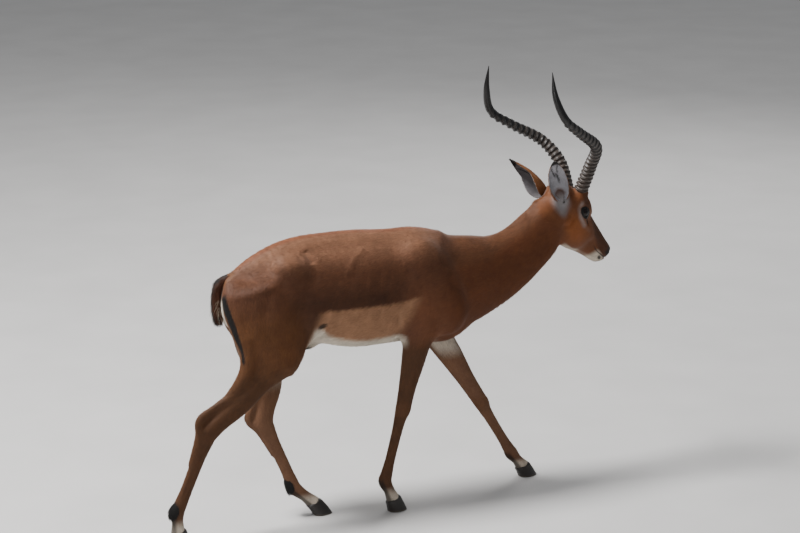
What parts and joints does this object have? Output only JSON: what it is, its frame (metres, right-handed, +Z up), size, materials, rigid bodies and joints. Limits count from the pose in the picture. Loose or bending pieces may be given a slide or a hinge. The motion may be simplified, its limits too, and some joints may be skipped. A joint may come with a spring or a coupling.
{
  "type": "impala antelope",
  "caption": "Life-size still model of a walking impala ram with a short tan coat, lyre-shaped ringed horns and its head held a little down.",
  "frame": {"origin": "on the floor, under the middle of the bounding box", "axes": "+X the way the animal walks, +Y its left, +Z up"},
  "size_m": [1.5512, 0.3757, 1.364],
  "materials": {
    "tan_coat": "short, flat, slightly glossy animal hair, reddish tan above and white below",
    "black_horn": "ringed, satin horn",
    "dark_eye": "wet, dark brown",
    "black_hoof": "satin hoof horn"
  },
  "bodies": {
    "root": {"ear_left": "tan_coat", "ear_right": "tan_coat", "eye_left": "dark_eye", "eye_right": "dark_eye", "fore_left_claw_left": "black_hoof", "fore_left_claw_right": "black_hoof", "fore_left_lower": "tan_coat", "fore_left_pastern": "tan_coat", "fore_left_upper": "tan_coat", "fore_right_claw_left": "black_hoof", "fore_right_claw_right": "black_hoof", "fore_right_lower": "tan_coat", "fore_right_pastern": "tan_coat", "fore_right_upper": "tan_coat", "head": "tan_coat", "hind_left_claw_left": "black_hoof", "hind_left_claw_right": "black_hoof", "hind_left_lower": "tan_coat", "hind_left_pastern": "tan_coat", "hind_left_upper": "tan_coat", "hind_right_claw_left": "black_hoof", "hind_right_claw_right": "black_hoof", "hind_right_lower": "tan_coat", "hind_right_pastern": "tan_coat", "hind_right_upper": "tan_coat", "horn_left": "black_horn", "horn_right": "black_horn", "neck": "tan_coat", "tail": "tan_coat", "trunk": "tan_coat"}
  },
  "joints": []
}
